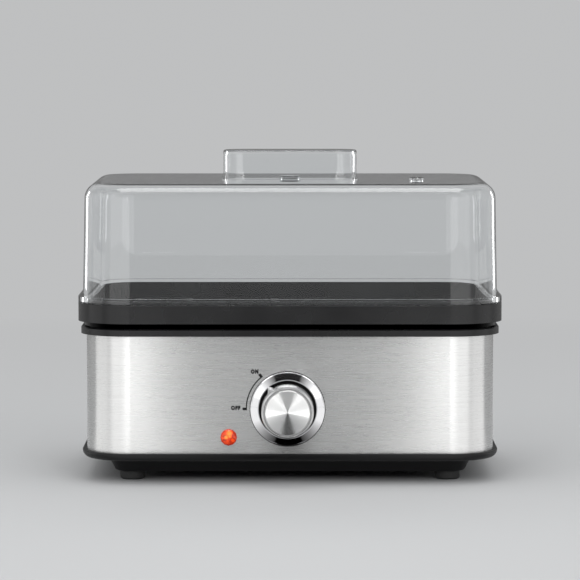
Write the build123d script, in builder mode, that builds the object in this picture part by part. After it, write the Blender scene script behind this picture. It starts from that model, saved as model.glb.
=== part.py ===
from build123d import *
import math
import os

os.makedirs("parts", exist_ok=True)

# An electric egg cooker: a steel-wrapped base with a water pan, a lift-out egg rack and a clear lid.
# Millimetres, +Z up, front towards -Y, origin on the table under the middle of the whole cooker.

# Plan of the collar and of the lid's rim, the largest outline
width = 230.0
depth = 152.0
corner_r = 29.0

# How far each other outline is drawn in from that plan
frame_inset = 1.5
flange_inset = 2.0
lid_inset = 2.5
recess_inset = 3.5
sleeve_inset = 4.5
shadow_inset = 6.0
tub_inset = 16.0
tub_draft = 4.0
lid_draft = 1.25

# Heights, from the table up
foot_height = 5.0
tub_height = 7.4
flange_height = 4.3
sleeve_height = 63.4
frame_height = 3.8
shadow_height = 0.7
recess_height = 2.3
collar_height = 10.3
rim_height = 3.0
lid_height = 64.5
handle_height = 16.0

# Walls and clearances
sleeve_wall = 0.8
cover_wall = 2.5
skirt_wall = 2.0
lid_wall = 2.0
handle_wall = 2.2
fit_gap = 0.3
slide_gap = 0.5
running_gap = 0.05

# Water pan
pan_inset = 17.5
pan_corner_r = 20.0
pan_wall = 2.0
pan_floor = 3.0
pan_floor_drop = 13.9
pan_flange = 5.5
pan_flange_thickness = 3.0
pan_clearance = 0.4
seal_thickness = 1.5
ledge_thickness = 2.0

# Egg seats
seat_columns = 4
seat_rows = 2
seat_draw_in = 1.25
seat_spread = 3.5
seat_r = 16.0
seat_rim = 2.5
seat_rim_height = 2.7
deck_thickness = 2.5
deck_drop = 8.5
lip_wall = 2.0
lip_height = 1.5
steam_hole_r = 2.5

# Dial and lamp on the front
dial_offset_x = -1.3
dial_height = 40.9
dial_reach = 19.5
bezel_r = 20.0
bezel_well_r = 15.3
bezel_height = 2.6
bezel_floor = 0.8
knob_r = 14.0
knob_wall = 2.0
cap_r = 12.0
cap_thickness = 0.9
pointer_angle = 130.0
pointer_reach = 2.3
shaft_r = 3.0
shaft_flat = 2.4
bush_r = 4.5
lens_offset_x = -33.0
lens_height = 25.6
lens_r = 4.5
lens_stem_r = 3.4

# Lid fittings
lid_edge_r = 8.5
handle_length = 74.0
handle_width = 24.0
handle_foot = 0.8
nub_height = 1.6
centre_nub_r = 5.8
vent_nub_r = 3.85
vent_r = 1.5
vent_x = 69.5
vent_forward = 22.0

# Feet, screws and inlet
foot_r = 6.8
foot_side_inset = 29.2
foot_front_inset = 30.0
stem_r = 2.5
post_r = 4.5
post_inset = 11.5
post_rise = 15.0
screw_r = 1.5
screw_head_r = 2.9
screw_head_height = 1.8
small_screw_r = 1.3
small_head_r = 2.3
small_head_height = 1.6
drive_length = 1.3
drive_width = 0.3
drive_depth = 0.6
gland_inset = 53.0
gland_height = 31.7
gland_bore_r = 3.5
gland_wall = 4.0
gland_flange_r = 9.5
gland_flange = 4.5
gland_depth = 10.0

# Heating and wiring
element_r = 3.25
element_side_margin = 22.5
element_front_margin = 16.5
element_bend_r = 26.0
element_end_x = 12.0
element_end_r = 11.0
element_tail = 14.0
pin_length = 10.0
pin_r = 1.2
saddle_width = 9.5
saddle_height = 1.5
cutout_y = -12.0
cutout_r = 6.8
cutout_screw_x = 14.5
fuse_x = 26.0
fuse_r = 1.9
fuse_length = 11.0
fuse_span = 18.0
fuse_drop = 8.0
fuse_wire_r = 0.5
earth_margin = 11.5
block_gap = 1.5
block_length = 34.0
block_width = 16.0
block_height = 12.0
block_post = 4.0
pole_pitch = 11.0
lead_r = 1.1
lamp_lead_r = 0.6

# Levels that follow from the heights
floor_z = foot_height
flange_z = floor_z + tub_height
sleeve_z = flange_z + flange_height
frame_z = sleeve_z + sleeve_height
rack_z = frame_z + frame_height
recess_z = rack_z + shadow_height
collar_z = recess_z + recess_height
lid_z = collar_z + collar_height
lid_top_z = lid_z + lid_height
post_split = sleeve_z + post_rise

# The dial stands out at the front only, so the housing sits behind the origin by half of that
housing_y = (dial_reach - sleeve_inset) / 2
housing = Plane((0, housing_y, 0))
front_y = housing_y - depth / 2 + sleeve_inset
back_y = housing_y + depth / 2 - sleeve_inset
gland_x = width / 2 - gland_inset
pan_width = width - 2 * pan_inset
pan_depth = depth - 2 * pan_inset

# Planes on the steel front, facing forward, and section planes whose height runs forward
dial_face = Plane((dial_offset_x, front_y, dial_height), x_dir=(1, 0, 0), z_dir=(0, -1, 0))
dial_section = Plane(dial_face.origin, x_dir=(1, 0, 0), z_dir=(0, 0, -1))
lens_face = Plane((lens_offset_x, front_y, lens_height), x_dir=(1, 0, 0), z_dir=(0, -1, 0))
lens_section = Plane(lens_face.origin, x_dir=(1, 0, 0), z_dir=(0, 0, -1))
gland_face = Plane((gland_x, back_y, gland_height), x_dir=(-1, 0, 0), z_dir=(0, 1, 0))


def slab(inset, bottom, top, mode=Mode.ADD):
    """Add or cut an upright block with the housing's plan drawn in by inset."""
    with BuildSketch(housing.offset(bottom)) as plan:
        RectangleRounded(width - 2 * inset, depth - 2 * inset, corner_r - inset)
    extrude(plan.sketch, amount=top - bottom, mode=mode)


def pan_slab(grow, bottom, top, mode=Mode.ADD):
    """Add or cut an upright block with the water pan's inner plan grown by grow."""
    with BuildSketch(housing.offset(bottom)) as plan:
        RectangleRounded(pan_width + 2 * grow, pan_depth + 2 * grow, pan_corner_r + grow)
    extrude(plan.sketch, amount=top - bottom, mode=mode)


def tapered_slab(low_inset, bottom, high_inset, top, mode=Mode.ADD):
    """Add or cut a block whose plan is drawn in by different insets at its two ends."""
    with BuildSketch(housing.offset(bottom)) as low:
        RectangleRounded(width - 2 * low_inset, depth - 2 * low_inset, corner_r - low_inset)
    with BuildSketch(housing.offset(top)) as high:
        RectangleRounded(width - 2 * high_inset, depth - 2 * high_inset, corner_r - high_inset)
    loft([low.sketch, high.sketch], mode=mode)


def rods(places, radius, bottom, top, mode=Mode.ADD):
    """Add or cut upright rods at places given from the housing's middle."""
    with BuildSketch(housing.offset(bottom)) as plan:
        with Locations(*places):
            Circle(radius)
    extrude(plan.sketch, amount=top - bottom, mode=mode)


def turned(section, profile, mode=Mode.ADD):
    """Add or cut a closed profile of (radius, height) points turned about the section's height."""
    with BuildSketch(section) as half:
        with BuildLine():
            Polyline(*profile, close=True)
        make_face()
    revolve(half.sketch, axis=Axis(section.origin, section.y_dir), mode=mode)


def upright_section(x, y, z):
    """A section plane with its height upward, at a place given from the housing's middle."""
    return Plane((x, y + housing_y, z), x_dir=(1, 0, 0), z_dir=(0, -1, 0))


def screws(places, under_head, length, radius, head_r, head_height, upward=True):
    """Add cross-head screws; upward ones have their head below and their shank above."""
    way = 1 if upward else -1
    head_end = under_head - way * head_height
    low, high = sorted((under_head, under_head + way * length))
    rods(places, radius, low, high)
    low, high = sorted((under_head, head_end))
    rods(places, head_r, low, high)
    with BuildSketch(housing.offset(head_end)) as drive:
        with Locations(*places):
            Rectangle(drive_length * head_r, drive_width * head_r)
            Rectangle(drive_width * head_r, drive_length * head_r)
    extrude(drive.sketch, amount=way * drive_depth * head_height, mode=Mode.SUBTRACT)


def bend_radii(points):
    """The arc at each corner of a route, as large as the two runs beside it allow."""
    radii = []
    for before, corner, after in zip(points, points[1:], points[2:]):
        into = Vector(*corner) - Vector(*before)
        out = Vector(*after) - Vector(*corner)
        half_turn = math.radians(into.get_angle(out)) / 2
        radii.append(0.45 * min(into.length, out.length) / math.tan(half_turn))
    return radii


def lead(points, radius):
    """Add a wire along a route given from the housing's middle."""
    route = [(x, y + housing_y, z) for x, y, z in points]
    with BuildLine() as path:
        FilletPolyline(*route, radius=bend_radii(route))
    with BuildSketch(Plane(origin=path.line @ 0, z_dir=path.line % 0)) as section:
        Circle(radius)
    sweep(section.sketch, path=path.line)


def save(builder, name):
    """Label a finished piece and write it."""
    builder.part.label = name
    export_step(builder.part, f"parts/{name}.step")


# Places of the four corner posts, on the corners' diagonals, and of the feet
post_reach = (corner_r - post_inset) * math.cos(math.radians(45))
post_x = width / 2 - corner_r + post_reach
post_y = depth / 2 - corner_r + post_reach
post_places = [(x, y) for x in (-post_x, post_x) for y in (-post_y, post_y)]
foot_x = width / 2 - foot_side_inset
foot_y = depth / 2 - foot_front_inset
foot_places = {
    "foot_front_left": (-foot_x, -foot_y),
    "foot_front_right": (foot_x, -foot_y),
    "foot_rear_left": (-foot_x, foot_y),
    "foot_rear_right": (foot_x, foot_y),
}

# Steel sleeve, with its holes for the switch, the lens and the cord gland
sleeve_inner_inset = sleeve_inset + sleeve_wall
peg_drop = 8.5
peg_r = 1.2
with BuildPart() as steel_sleeve:
    slab(sleeve_inset, sleeve_z, frame_z)
    slab(sleeve_inner_inset, sleeve_z, frame_z, mode=Mode.SUBTRACT)
    with BuildSketch(dial_face):
        Circle(bush_r + fit_gap)
        with Locations((0, -peg_drop)):
            Circle(peg_r + fit_gap)
    extrude(amount=-2 * sleeve_wall, mode=Mode.SUBTRACT)
    with BuildSketch(lens_face):
        Circle(lens_stem_r + running_gap)
    extrude(amount=-2 * sleeve_wall, mode=Mode.SUBTRACT)
    with BuildSketch(gland_face):
        Circle(gland_bore_r + gland_wall + fit_gap)
    extrude(amount=-2 * sleeve_wall, mode=Mode.SUBTRACT)
save(steel_sleeve, "steel_sleeve")

# Top frame: the black ring over the sleeve, its skirt inside the sleeve, and the pan's ledge
skirt_inset = sleeve_inner_inset + fit_gap
skirt_depth = 6.4
pan_top_z = rack_z - fit_gap
pan_flange_z = pan_top_z - pan_flange_thickness
ledge_z = pan_flange_z - seal_thickness
flange_grow = pan_wall + pan_flange
well_grow = pan_wall + slide_gap + fit_gap
frame_chamfer = 0.5
post_hole_depth = 16.0
plate_screw_x = pan_width / 2 + pan_wall + 0.6 * pan_flange
plate_screw_y = 22.0
plate_places = [(x, y) for x in (-plate_screw_x, plate_screw_x) for y in (-plate_screw_y, plate_screw_y)]
with BuildPart() as top_frame:
    slab(frame_inset, frame_z, rack_z)
    chamfer(top_frame.edges().group_by(Axis.Z)[-1], frame_chamfer)
    slab(skirt_inset, frame_z - skirt_depth, frame_z)
    pan_slab(flange_grow + pan_clearance, ledge_z, rack_z, mode=Mode.SUBTRACT)
    pan_slab(well_grow, ledge_z - ledge_thickness, ledge_z, mode=Mode.SUBTRACT)
    slab(skirt_inset + skirt_wall, frame_z - skirt_depth, ledge_z - ledge_thickness, mode=Mode.SUBTRACT)
    rods(post_places, post_r, post_split, ledge_z - ledge_thickness)
    rods(post_places, screw_r + running_gap, post_split, post_split + post_hole_depth, mode=Mode.SUBTRACT)
    rods(plate_places, small_screw_r + running_gap, ledge_z - ledge_thickness, ledge_z, mode=Mode.SUBTRACT)
save(top_frame, "top_frame")

# Base cover: the flange under the sleeve, the drawn-in tub below it, posts, vents and foot holes
tub_low_inset = tub_inset + tub_draft
tub_edge_r = 1.5
flange_land = 0.3
lip_rise = 3.0
head_recess = 3.3
vent_length = 34.0
vent_width = 3.0
vent_rows = 7
vent_row_pitch = 7.0
vent_pitch = 64.0
block_post_wall = 2.0
tub_floor_z = floor_z + cover_wall
block_y = depth / 2 - tub_low_inset - cover_wall - block_gap - block_width / 2
block_places = [(gland_x - 0.5 * pole_pitch, block_y), (gland_x + 0.5 * pole_pitch, block_y)]
block_post_z = tub_floor_z + block_post
with BuildPart() as base_cover:
    slab(flange_inset, flange_z, sleeve_z)
    fillet(base_cover.edges().group_by(Axis.Z)[0], flange_height - flange_land)
    tapered_slab(tub_low_inset, floor_z, tub_inset, flange_z)
    fillet(base_cover.edges().group_by(Axis.Z)[0], tub_edge_r)
    inner_low_inset = tub_low_inset + cover_wall
    inner_high_inset = tub_inset + cover_wall
    tapered_slab(inner_low_inset, tub_floor_z, inner_high_inset, sleeve_z, mode=Mode.SUBTRACT)
    slab(skirt_inset, sleeve_z, sleeve_z + lip_rise)
    slab(skirt_inset + skirt_wall, sleeve_z, sleeve_z + lip_rise, mode=Mode.SUBTRACT)
    rods(post_places, post_r, flange_z, post_split)
    rods(post_places, screw_head_r + fit_gap, flange_z, flange_z + head_recess, mode=Mode.SUBTRACT)
    rods(post_places, screw_r + running_gap, flange_z, post_split, mode=Mode.SUBTRACT)
    rods(block_places, small_screw_r + block_post_wall, tub_floor_z, block_post_z)
    rods(block_places, small_screw_r + running_gap, tub_floor_z, block_post_z, mode=Mode.SUBTRACT)
    rods(foot_places.values(), stem_r + running_gap, floor_z, tub_floor_z, mode=Mode.SUBTRACT)
    with BuildSketch(housing.offset(floor_z)):
        with GridLocations(vent_pitch, vent_row_pitch, 2, vent_rows):
            SlotOverall(vent_length, vent_width)
    extrude(amount=cover_wall, mode=Mode.SUBTRACT)
save(base_cover, "base_cover")

# Rubber feet, each pushed up through the tub's floor and held by its barb
barb_r = stem_r + 0.7
barb_tip_r = stem_r - 0.6
barb_z = tub_floor_z + 0.1
barb_top_z = barb_z + 2.4
foot_edge = 0.8
for foot_name, (x, y) in foot_places.items():
    with BuildPart() as foot:
        turned(
            upright_section(x, y, 0),
            [
                (0, 0),
                (foot_r - foot_edge, 0),
                (foot_r, foot_edge),
                (foot_r, foot_height),
                (stem_r, foot_height),
                (stem_r, barb_z),
                (barb_r, barb_z),
                (barb_tip_r, barb_top_z),
                (0, barb_top_z),
            ],
        )
    save(foot, foot_name)

# Base screws, up through the base cover's posts into the top frame's
base_screw_length = post_split - flange_z - head_recess + 0.9 * post_hole_depth
with BuildPart() as base_screws:
    screws(post_places, flange_z + head_recess, base_screw_length, screw_r, screw_head_r, screw_head_height)
save(base_screws, "base_screws")

# Heating plate: the water pan with its flange, the element's saddle and the bosses under it
pan_floor_z = pan_top_z - pan_floor_drop
pan_under_z = pan_floor_z - pan_floor
pan_inner_r = 4.0
pan_outer_r = 2.0
element_gap = 0.2
groove_gap = 0.1
element_z = pan_under_z - element_r - element_gap
element_half_x = pan_width / 2 - element_side_margin
element_half_y = pan_depth / 2 - element_front_margin
element_end_y = element_half_y - element_tail
earth_x = pan_width / 2 - earth_margin
cutout_places = [(-cutout_screw_x, cutout_y), (cutout_screw_x, cutout_y)]
boss_r = 3.6
cutout_boss = 4.0
earth_boss = 5.0
boss_bite = 1.0
screw_bite = 5.0
flange_skin = 0.8


def element_route():
    """The element's loop: in from one end, round the pan and back out at the other end."""
    return FilletPolyline(
        (-element_end_x, element_end_y),
        (-element_end_x, element_half_y),
        (-element_half_x, element_half_y),
        (-element_half_x, -element_half_y),
        (element_half_x, -element_half_y),
        (element_half_x, element_half_y),
        (element_end_x, element_half_y),
        (element_end_x, element_end_y),
        radius=[element_end_r] + 4 * [element_bend_r] + [element_end_r],
    )


with BuildPart(mode=Mode.PRIVATE) as pan_hollow:
    pan_slab(0, pan_floor_z, pan_top_z)
    fillet(pan_hollow.edges().group_by(Axis.Z)[0], pan_inner_r)
with BuildPart() as heating_plate:
    pan_slab(pan_wall, pan_under_z, pan_top_z)
    pan_slab(flange_grow, pan_flange_z, pan_top_z)
    add(pan_hollow.part, mode=Mode.SUBTRACT)
    fillet(heating_plate.edges().group_by(Axis.Z)[0], pan_outer_r)
    with BuildSketch(housing.offset(pan_under_z)):
        with BuildLine():
            element_route()
        trace(line_width=saddle_width)
    extrude(amount=-saddle_height)
    rods(cutout_places, boss_r, pan_under_z - cutout_boss, pan_under_z)
    rods([(earth_x, 0)], boss_r, pan_under_z - earth_boss, pan_under_z)
    with BuildLine(housing.offset(element_z)) as groove:
        element_route()
    with BuildSketch(Plane(origin=groove.line @ 0, z_dir=groove.line % 0)):
        Circle(element_r + groove_gap)
    sweep(path=groove.line, mode=Mode.SUBTRACT)
    bore_r = screw_r + running_gap
    bore_top_z = pan_under_z + boss_bite
    rods(cutout_places, bore_r, pan_under_z - cutout_boss, bore_top_z, mode=Mode.SUBTRACT)
    rods([(earth_x, 0)], bore_r, pan_under_z - earth_boss, bore_top_z, mode=Mode.SUBTRACT)
    plate_bore_r = small_screw_r + running_gap
    rods(plate_places, plate_bore_r, pan_flange_z, pan_top_z - flange_skin, mode=Mode.SUBTRACT)
save(heating_plate, "heating_plate")

# Silicone seal between the pan's flange and the ledge
with BuildPart() as plate_seal:
    pan_slab(flange_grow, ledge_z, pan_flange_z)
    pan_slab(pan_wall + fit_gap, ledge_z, pan_flange_z, mode=Mode.SUBTRACT)
    rods(plate_places, small_screw_r + running_gap, ledge_z, pan_flange_z, mode=Mode.SUBTRACT)
save(plate_seal, "plate_seal")

# Plate screws, up through the ledge and the seal into the flange
plate_screw_z = ledge_z - ledge_thickness
plate_screw_length = pan_top_z - flange_skin - fit_gap - plate_screw_z
with BuildPart() as plate_screws:
    screws(plate_places, plate_screw_z, plate_screw_length, small_screw_r, small_head_r, small_head_height)
save(plate_screws, "plate_screws")

# Heating element: one sheathed tube with a cold pin at each end
with BuildPart() as heating_element:
    with BuildLine(housing.offset(element_z)) as tube:
        element_route()
    with BuildSketch(Plane(origin=tube.line @ 0, z_dir=tube.line % 0)):
        Circle(element_r)
    sweep(path=tube.line)
    with BuildSketch(Plane((0, housing_y + element_end_y, element_z), x_dir=(1, 0, 0), z_dir=(0, -1, 0))):
        with Locations((-element_end_x, 0), (element_end_x, 0)):
            Circle(pin_r)
    extrude(amount=pin_length)
save(heating_element, "heating_element")

# Thermal cut-out under the pan's floor, with its two blades pointing down
cutout_top_z = pan_under_z - element_gap
cutout_flange_z = pan_under_z - cutout_boss
cutout_flange = 1.6
cutout_flange_thickness = 1.5
cutout_cap = 0.8
cutout_body = 9.0
blade_x = 4.0
blade_length = 8.0
blade_width = 5.0
blade_thickness = 0.8
cutout_low_z = cutout_flange_z - cutout_body
with BuildPart() as thermal_cutout:
    turned(
        upright_section(0, cutout_y, 0),
        [
            (0, cutout_low_z),
            (cutout_r, cutout_low_z),
            (cutout_r, cutout_flange_z),
            (cutout_r + cutout_flange, cutout_flange_z),
            (cutout_r + cutout_flange, cutout_flange_z + cutout_flange_thickness),
            (cutout_r + cutout_cap, cutout_flange_z + cutout_flange_thickness),
            (cutout_r + cutout_cap, cutout_top_z),
            (0, cutout_top_z),
        ],
    )
    with BuildSketch(housing.offset(cutout_low_z)):
        with Locations((-blade_x, cutout_y), (blade_x, cutout_y)):
            Rectangle(blade_thickness, blade_width)
    extrude(amount=-blade_length)
save(thermal_cutout, "thermal_cutout")

# Sheet bracket that lifts the cut-out against the pan, with a tongue under the fuse
bracket_thickness = 1.0
bracket_width = 18.0
bracket_ear = 4.5
bracket_corner_r = 3.0
tongue_width = 8.0
bracket_z = cutout_flange_z - bracket_thickness
with BuildPart() as cutout_bracket:
    with BuildSketch(housing.offset(bracket_z)):
        with Locations((0, cutout_y)):
            RectangleRounded(2 * (cutout_screw_x + bracket_ear), bracket_width, bracket_corner_r)
        with Locations((fuse_x / 2, cutout_y)):
            Rectangle(fuse_x + 2 * fuse_r, tongue_width)
        with Locations((0, cutout_y)):
            Circle(cutout_r + fit_gap, mode=Mode.SUBTRACT)
        with Locations(*cutout_places):
            Circle(screw_r + fit_gap, mode=Mode.SUBTRACT)
    extrude(amount=bracket_thickness)
save(cutout_bracket, "cutout_bracket")

# Cut-out screws, and the earth screw that holds the earth lead's tag
with BuildPart() as cutout_screws:
    screws(cutout_places, bracket_z, screw_bite, screw_r, screw_head_r, screw_head_height)
save(cutout_screws, "cutout_screws")

tag_thickness = 0.8
tag_z = pan_under_z - earth_boss - tag_thickness
with BuildPart() as earth_screw:
    screws([(earth_x, 0)], tag_z, screw_bite, screw_r, screw_head_r, screw_head_height)
save(earth_screw, "earth_screw")

# Thermal fuse: a small capsule on the bracket's tongue, with its wires bent down at both ends
fuse_z = cutout_flange_z + fuse_r + running_gap
fuse_bend_r = 2.0
fuse_chamfer = 0.5
fuse_front_y = cutout_y - fuse_span / 2
fuse_back_y = cutout_y + fuse_span / 2
fuse_end_z = fuse_z - fuse_drop
with BuildPart() as thermal_fuse:
    with BuildSketch(Plane((fuse_x, housing_y + cutout_y, fuse_z), x_dir=(1, 0, 0), z_dir=(0, 1, 0))):
        Circle(fuse_r)
    extrude(amount=fuse_length / 2, both=True)
    chamfer(thermal_fuse.edges(), fuse_chamfer)
    with BuildLine(housing) as fuse_wire:
        FilletPolyline(
            (fuse_x, fuse_front_y, fuse_end_z),
            (fuse_x, fuse_front_y, fuse_z),
            (fuse_x, fuse_back_y, fuse_z),
            (fuse_x, fuse_back_y, fuse_end_z),
            radius=fuse_bend_r,
        )
    with BuildSketch(Plane(origin=fuse_wire.line @ 0, z_dir=fuse_wire.line % 0)):
        Circle(fuse_wire_r)
    sweep(path=fuse_wire.line)
save(thermal_fuse, "thermal_fuse")

# Rotary switch behind the front, with its bush through the sleeve, locating peg and two blades
switch_size = 24.0
switch_corner_r = 2.0
switch_depth = 16.0
switch_blade_x = 7.0
switch_blade_length = 8.0
bush_reach = 5.0
shaft_depth = 12.0
with BuildPart() as rotary_switch:
    with BuildSketch(dial_face.offset(-sleeve_wall)):
        RectangleRounded(switch_size, switch_size, switch_corner_r)
    extrude(amount=-switch_depth)
    with BuildSketch(dial_face.offset(-sleeve_wall)):
        Circle(bush_r)
    extrude(amount=sleeve_wall + bush_reach)
    with BuildSketch(dial_face.offset(-sleeve_wall)):
        with Locations((0, -peg_drop)):
            Circle(peg_r)
    extrude(amount=sleeve_wall)
    with BuildSketch(dial_face.offset(bush_reach)):
        Circle(shaft_r + running_gap)
    extrude(amount=-bush_reach - shaft_depth, mode=Mode.SUBTRACT)
    with BuildSketch(dial_face.offset(-sleeve_wall - switch_depth)):
        with Locations((-switch_blade_x, 0), (switch_blade_x, 0)):
            Rectangle(blade_thickness, blade_width)
    extrude(amount=-switch_blade_length)
save(rotary_switch, "rotary_switch")

# Polished bezel: a cone ring with a well for the knob and a floor that the nut clamps
bezel_bore_r = bush_r + 0.2
bezel_edge = 0.5
bezel_shoulder_r = bezel_r - 0.6
bezel_shoulder = 0.9
bezel_crest = 0.5
bezel_lip = 0.2
with BuildPart() as dial_bezel:
    turned(
        dial_section,
        [
            (bezel_bore_r, 0),
            (bezel_r, 0),
            (bezel_r, bezel_edge),
            (bezel_shoulder_r, bezel_shoulder),
            (bezel_well_r + bezel_lip + bezel_crest, bezel_height),
            (bezel_well_r + bezel_lip, bezel_height),
            (bezel_well_r, bezel_height - 2 * bezel_lip),
            (bezel_well_r, bezel_floor),
            (bezel_bore_r, bezel_floor),
        ],
    )
save(dial_bezel, "dial_bezel")

# Hexagonal nut on the bush, inside the knob
nut_height = 2.5
nut_r = 7.5
with BuildPart() as switch_nut:
    with BuildSketch(dial_face.offset(bezel_floor)):
        RegularPolygon(nut_r, 6)
        Circle(bush_r + running_gap, mode=Mode.SUBTRACT)
    extrude(amount=nut_height)
save(switch_nut, "switch_nut")

# Dial knob: a hollow drum with a hub on the shaft, a pointer rib and a recess for its cap
dial_gap = 0.8
knob_back = bezel_floor + dial_gap
knob_front = dial_reach - 0.2
knob_edge = 0.8
knob_edge_mid = 0.3
cap_groove = 0.3
cap_groove_depth = 0.5
cap_gap = 0.1
cap_seat = dial_reach - cap_thickness
hub_back = bush_reach + dial_gap
hub_r = 5.2
knob_roof = cap_seat - knob_wall
pointer_back = bezel_height + dial_gap
pointer_half_width = 2.6
pointer_root_r = knob_r - 0.8
pointer_front = knob_front - knob_edge_mid
with BuildPart() as dial_knob:
    turned(
        dial_section,
        [
            (knob_r - knob_wall, knob_back),
            (knob_r, knob_back),
            (knob_r, knob_front - knob_edge),
            (knob_r - knob_edge_mid, knob_front - knob_edge_mid),
            (knob_r - knob_edge, knob_front),
            (cap_r + cap_groove + cap_groove_depth, knob_front),
            (cap_r + cap_groove, knob_front - cap_groove_depth),
            (cap_r + cap_gap, knob_front - cap_groove_depth),
            (cap_r + cap_gap, cap_seat),
            (0, cap_seat),
            (0, hub_back),
            (hub_r, hub_back),
            (hub_r, knob_roof),
            (knob_r - knob_wall, knob_roof),
        ],
    )
    with BuildSketch(dial_face.offset(pointer_back)):
        with Locations(Location((0, 0), pointer_angle)):
            Polygon(
                (pointer_root_r, -pointer_half_width),
                (knob_r + pointer_reach, 0),
                (pointer_root_r, pointer_half_width),
                align=None,
            )
    extrude(amount=pointer_front - pointer_back)
    with BuildSketch(dial_face.offset(hub_back)):
        Circle(shaft_r + running_gap)
        with Locations((0, shaft_r)):
            Rectangle(2 * shaft_r, 2 * (shaft_r - shaft_flat - running_gap), mode=Mode.SUBTRACT)
    extrude(amount=knob_roof - hub_back, mode=Mode.SUBTRACT)
save(dial_knob, "dial_knob")

# Spun metal cap in the knob's face
cap_edge = 0.3
with BuildPart() as knob_face_cap:
    turned(
        dial_section,
        [
            (0, cap_seat),
            (cap_r, cap_seat),
            (cap_r, dial_reach - cap_edge),
            (cap_r - cap_edge, dial_reach),
            (0, dial_reach),
        ],
    )
save(knob_face_cap, "knob_face_cap")

# Dial shaft: round in the switch, flatted in the knob's hub
shaft_back = fit_gap - shaft_depth
with BuildPart() as dial_shaft:
    with BuildSketch(dial_face.offset(shaft_back)):
        Circle(shaft_r)
    extrude(amount=hub_back - shaft_back)
    with BuildSketch(dial_face.offset(hub_back)):
        Circle(shaft_r)
        with Locations((0, shaft_r)):
            Rectangle(2 * shaft_r, 2 * (shaft_r - shaft_flat), mode=Mode.SUBTRACT)
    extrude(amount=knob_roof - hub_back - fit_gap)
save(dial_shaft, "dial_shaft")

# Indicator lens with its hollow stem, and the clip that holds it from behind
lens_stem = 5.0
lens_bore_r = 2.6
lens_edge = 0.9
lens_shoulder = 1.6
lens_crown = 2.3
lens_dome = 2.6
lens_skin = 0.4
clip_wall = 1.0
clip_thickness = 1.2
lamp_r = 2.3
with BuildPart() as indicator_lens:
    turned(
        lens_section,
        [
            (lens_bore_r, -lens_stem),
            (lens_stem_r, -lens_stem),
            (lens_stem_r, 0),
            (lens_r, 0),
            (lens_r, lens_edge),
            (0.85 * lens_r, lens_shoulder),
            (0.5 * lens_r, lens_crown),
            (0, lens_dome),
            (0, lens_skin),
            (lens_bore_r, lens_skin),
        ],
    )
save(indicator_lens, "indicator_lens")

with BuildPart() as lens_clip:
    turned(
        lens_section,
        [
            (lens_stem_r + running_gap, -sleeve_wall),
            (lens_r + clip_wall, -sleeve_wall),
            (lens_r + clip_wall, -sleeve_wall - clip_thickness),
            (lens_stem_r + running_gap, -sleeve_wall - clip_thickness),
        ],
    )
save(lens_clip, "lens_clip")

# Indicator lamp in the stem, and the holder that grips it
holder_depth = 6.0
holder_wall = 1.0
holder_lip = 0.6
lamp_length = 9.0
lamp_tip_r = 1.4
lamp_shoulder = 0.4
lamp_neck = 1.8
with BuildPart() as indicator_lamp:
    turned(
        lens_section,
        [
            (0, 0),
            (lamp_tip_r, -lamp_shoulder),
            (lamp_r, -lamp_neck),
            (lamp_r, -lamp_length),
            (0, -lamp_length),
        ],
    )
save(indicator_lamp, "indicator_lamp")

with BuildPart() as lamp_holder:
    turned(
        lens_section,
        [
            (lamp_r + running_gap, -lens_stem),
            (lens_stem_r + holder_wall, -lens_stem),
            (lens_stem_r + holder_wall, -lens_stem - holder_depth),
            (lamp_r - holder_lip, -lens_stem - holder_depth),
            (lamp_r - holder_lip, -lamp_length),
            (lamp_r + running_gap, -lamp_length),
        ],
    )
save(lamp_holder, "lamp_holder")

# Terminal block on its two posts, with its fixing screws
block_front_y = block_y - block_width / 2
pole_z = block_post_z + block_height / 2
poles = [gland_x - pole_pitch, gland_x, gland_x + pole_pitch]
block_screw_roof = 4.0
block_recess_r = small_head_r + fit_gap
block_chamfer = 1.0
block_top_z = block_post_z + block_height
with BuildPart() as terminal_block:
    with BuildSketch(housing.offset(block_post_z)):
        with Locations((gland_x, block_y)):
            Rectangle(block_length, block_width)
    extrude(amount=block_height)
    chamfer(terminal_block.edges().group_by(Axis.Z)[-1], block_chamfer)
    rods(block_places, small_screw_r + fit_gap, block_post_z, block_top_z, mode=Mode.SUBTRACT)
    rods(block_places, block_recess_r, block_post_z + block_screw_roof, block_top_z, mode=Mode.SUBTRACT)
save(terminal_block, "terminal_block")

with BuildPart() as terminal_screws:
    screws(
        block_places,
        block_post_z + block_screw_roof,
        block_screw_roof + block_post - slide_gap,
        small_screw_r,
        small_head_r,
        small_head_height,
        upward=False,
    )
save(terminal_screws, "terminal_screws")

# Cord gland in the back of the sleeve, and its nut inside
gland_r = gland_bore_r + gland_wall
gland_nut_height = 4.0
gland_nut_wall = 3.5
gland_edge = 1.2
with BuildPart() as cord_gland:
    with BuildSketch(gland_face):
        Circle(gland_flange_r)
    extrude(amount=gland_flange)
    chamfer(cord_gland.edges().group_by(Axis.Y)[-1], gland_edge)
    with BuildSketch(gland_face):
        Circle(gland_r)
    extrude(amount=-sleeve_wall - gland_depth)
    with BuildSketch(gland_face.offset(gland_flange)):
        Circle(gland_bore_r)
    extrude(amount=-gland_flange - sleeve_wall - gland_depth, mode=Mode.SUBTRACT)
save(cord_gland, "cord_gland")

with BuildPart() as gland_nut:
    with BuildSketch(gland_face.offset(-sleeve_wall)):
        RegularPolygon(gland_r + gland_nut_wall, 6)
        Circle(gland_r + running_gap, mode=Mode.SUBTRACT)
    extrude(amount=-gland_nut_height)
save(gland_nut, "gland_nut")

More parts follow.
